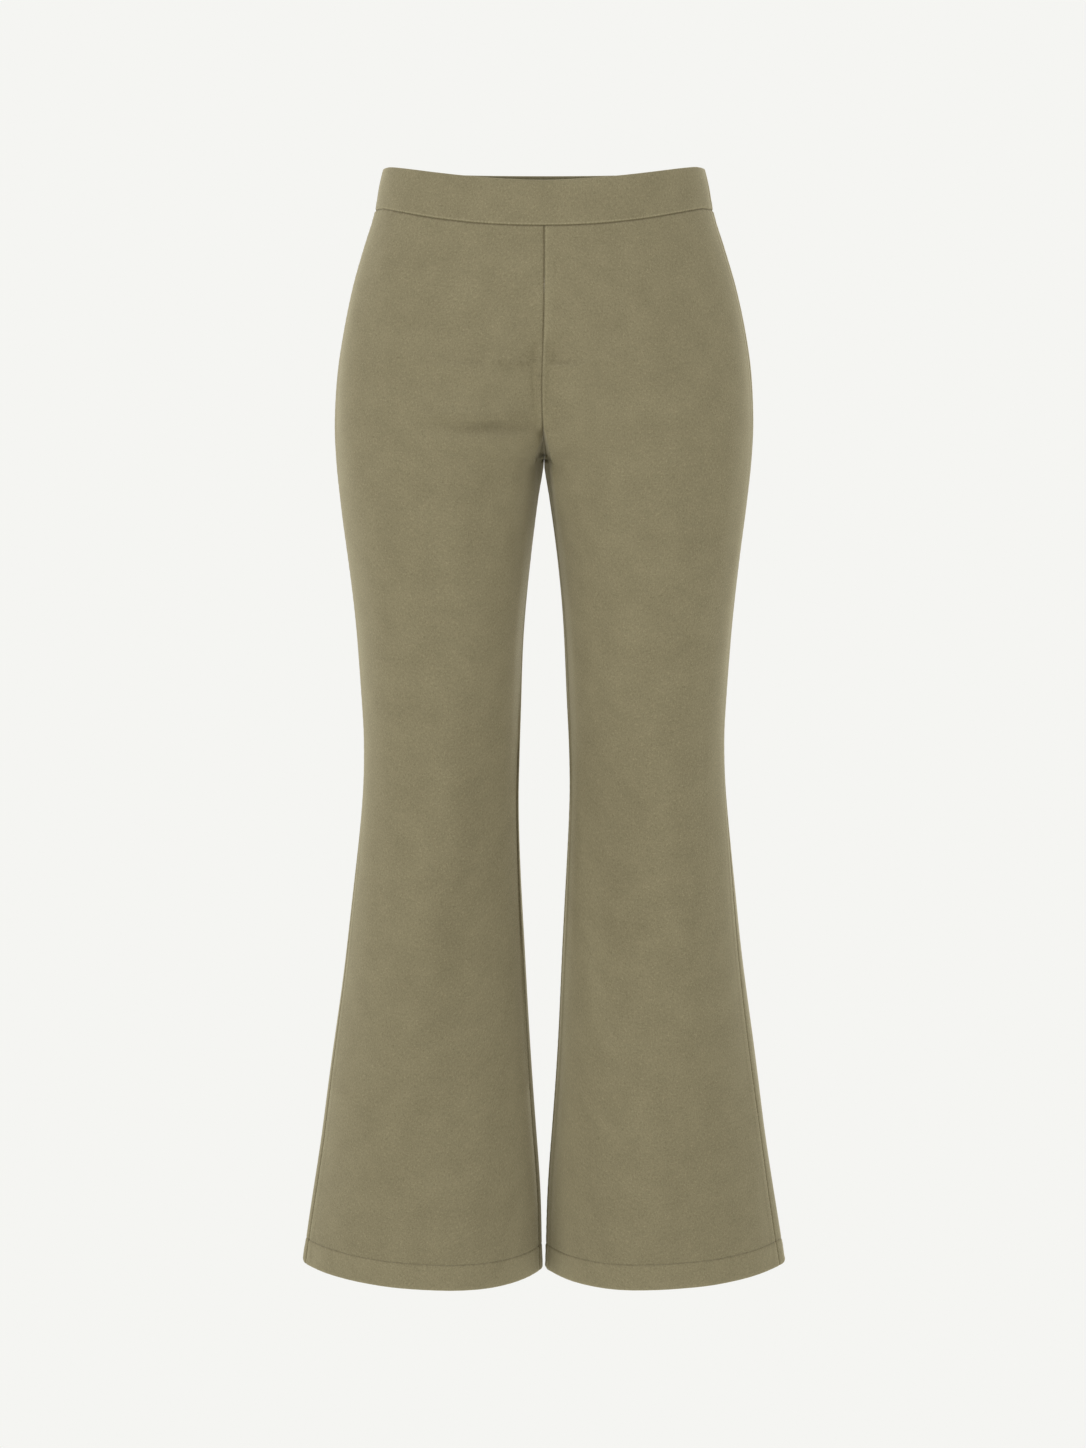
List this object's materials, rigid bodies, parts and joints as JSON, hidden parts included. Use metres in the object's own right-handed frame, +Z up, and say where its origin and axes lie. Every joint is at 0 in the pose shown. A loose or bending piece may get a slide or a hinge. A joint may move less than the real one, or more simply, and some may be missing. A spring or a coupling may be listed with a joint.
{
  "type": "wide-leg trousers",
  "caption": "Pull-on trousers that widen from the knee to a broad hem, with a plain fitted waistband and a centre front seam, hollow and in their worn shape.",
  "frame": {"origin": "middle of the waist opening, level with the top of the waistband at the side seams, where the wearer's waist holds the garment up", "axes": "+Z up, the front of the garment faces -Y, the wearer's left is +X"},
  "size_m": [0.4628, 0.2391, 1.0577],
  "materials": {
    "cloth": "soft brushed stretch twill, olive khaki, matt with a faint sheen"
  },
  "bodies": {
    "root": {"front_panel_left": "cloth", "front_panel_right": "cloth", "back_panel_left": "cloth", "back_panel_right": "cloth", "waistband_front": "cloth", "waistband_back": "cloth"}
  },
  "joints": []
}
